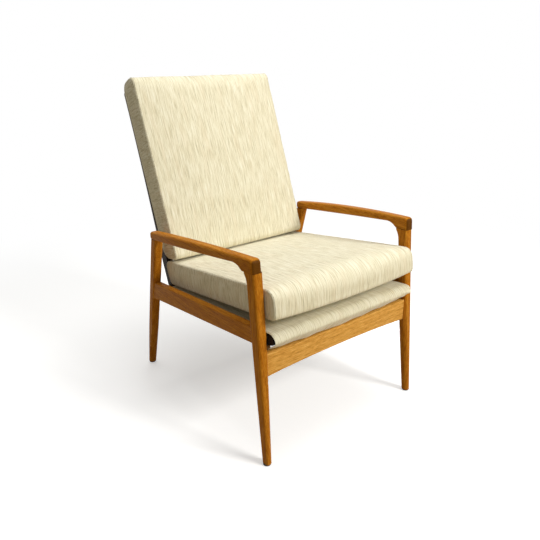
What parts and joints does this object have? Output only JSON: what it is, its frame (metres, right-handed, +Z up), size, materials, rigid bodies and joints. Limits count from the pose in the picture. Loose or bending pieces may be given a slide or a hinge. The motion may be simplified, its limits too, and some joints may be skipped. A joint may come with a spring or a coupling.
{
  "type": "reclining easy chair",
  "caption": "Wooden easy chair with bowed armrests, splayed round-footed legs and boxed cushions on a seat and back frame that tilts as one.",
  "frame": {"origin": "on the floor, at the middle of the chair's bounding box", "axes": "+X to the right as seen from in front, +Y to the rear, +Z up"},
  "size_m": [0.6296, 0.8094, 0.9788],
  "materials": {
    "oiled_wood": "oiled teak, satin",
    "dark_wood": "black-brown stain, satin",
    "plain_wood": "bare beech",
    "cream_cloth": "cream slub weave",
    "webbing": "rubberised woven webbing",
    "black_plastic": "matt black",
    "black_rubber": "matt black",
    "black_steel": "black enamel",
    "brass": "dull brass",
    "steel": "zinc plated"
  },
  "bodies": {
    "root": {"armrest_left": "oiled_wood", "armrest_right": "oiled_wood", "foot_glides": "black_plastic", "frame_dowels": "plain_wood", "front_leg_left": "oiled_wood", "front_leg_right": "oiled_wood", "front_rail": "oiled_wood", "pivot_bolts": "steel", "pivot_inserts": "brass", "pivot_spacers": "brass", "rear_leg_left": "oiled_wood", "rear_leg_right": "oiled_wood", "rear_stretcher": "oiled_wood", "side_rail_left": "oiled_wood", "side_rail_right": "oiled_wood", "stop_blocks": "plain_wood", "stop_pads": "black_rubber"},
    "seat_unit": {"back_cushion": "cream_cloth", "back_dowels": "plain_wood", "back_lower_bar": "dark_wood", "back_screws": "steel", "back_strap_clips": "steel", "back_straps": "webbing", "back_top_bar": "dark_wood", "back_upright_left": "dark_wood", "back_upright_right": "dark_wood", "pivot_bushes": "brass", "pivot_washers": "brass", "seat_cushion": "cream_cloth", "seat_deck_cloth": "cream_cloth", "seat_dowels": "plain_wood", "seat_front_tube": "black_steel", "seat_rail_left": "dark_wood", "seat_rail_right": "dark_wood", "seat_rear_bar": "dark_wood", "seat_strap_clips": "steel", "seat_straps": "webbing", "seat_tube_plugs": "black_plastic"}
  },
  "joints": [
    {"name": "recline", "type": "hinge", "parent": "root", "child": "seat_unit", "pos_m": [0, 0.05591, 0.3211], "axis": [-1, 0, 0], "range_deg": [0, 10]}
  ]
}
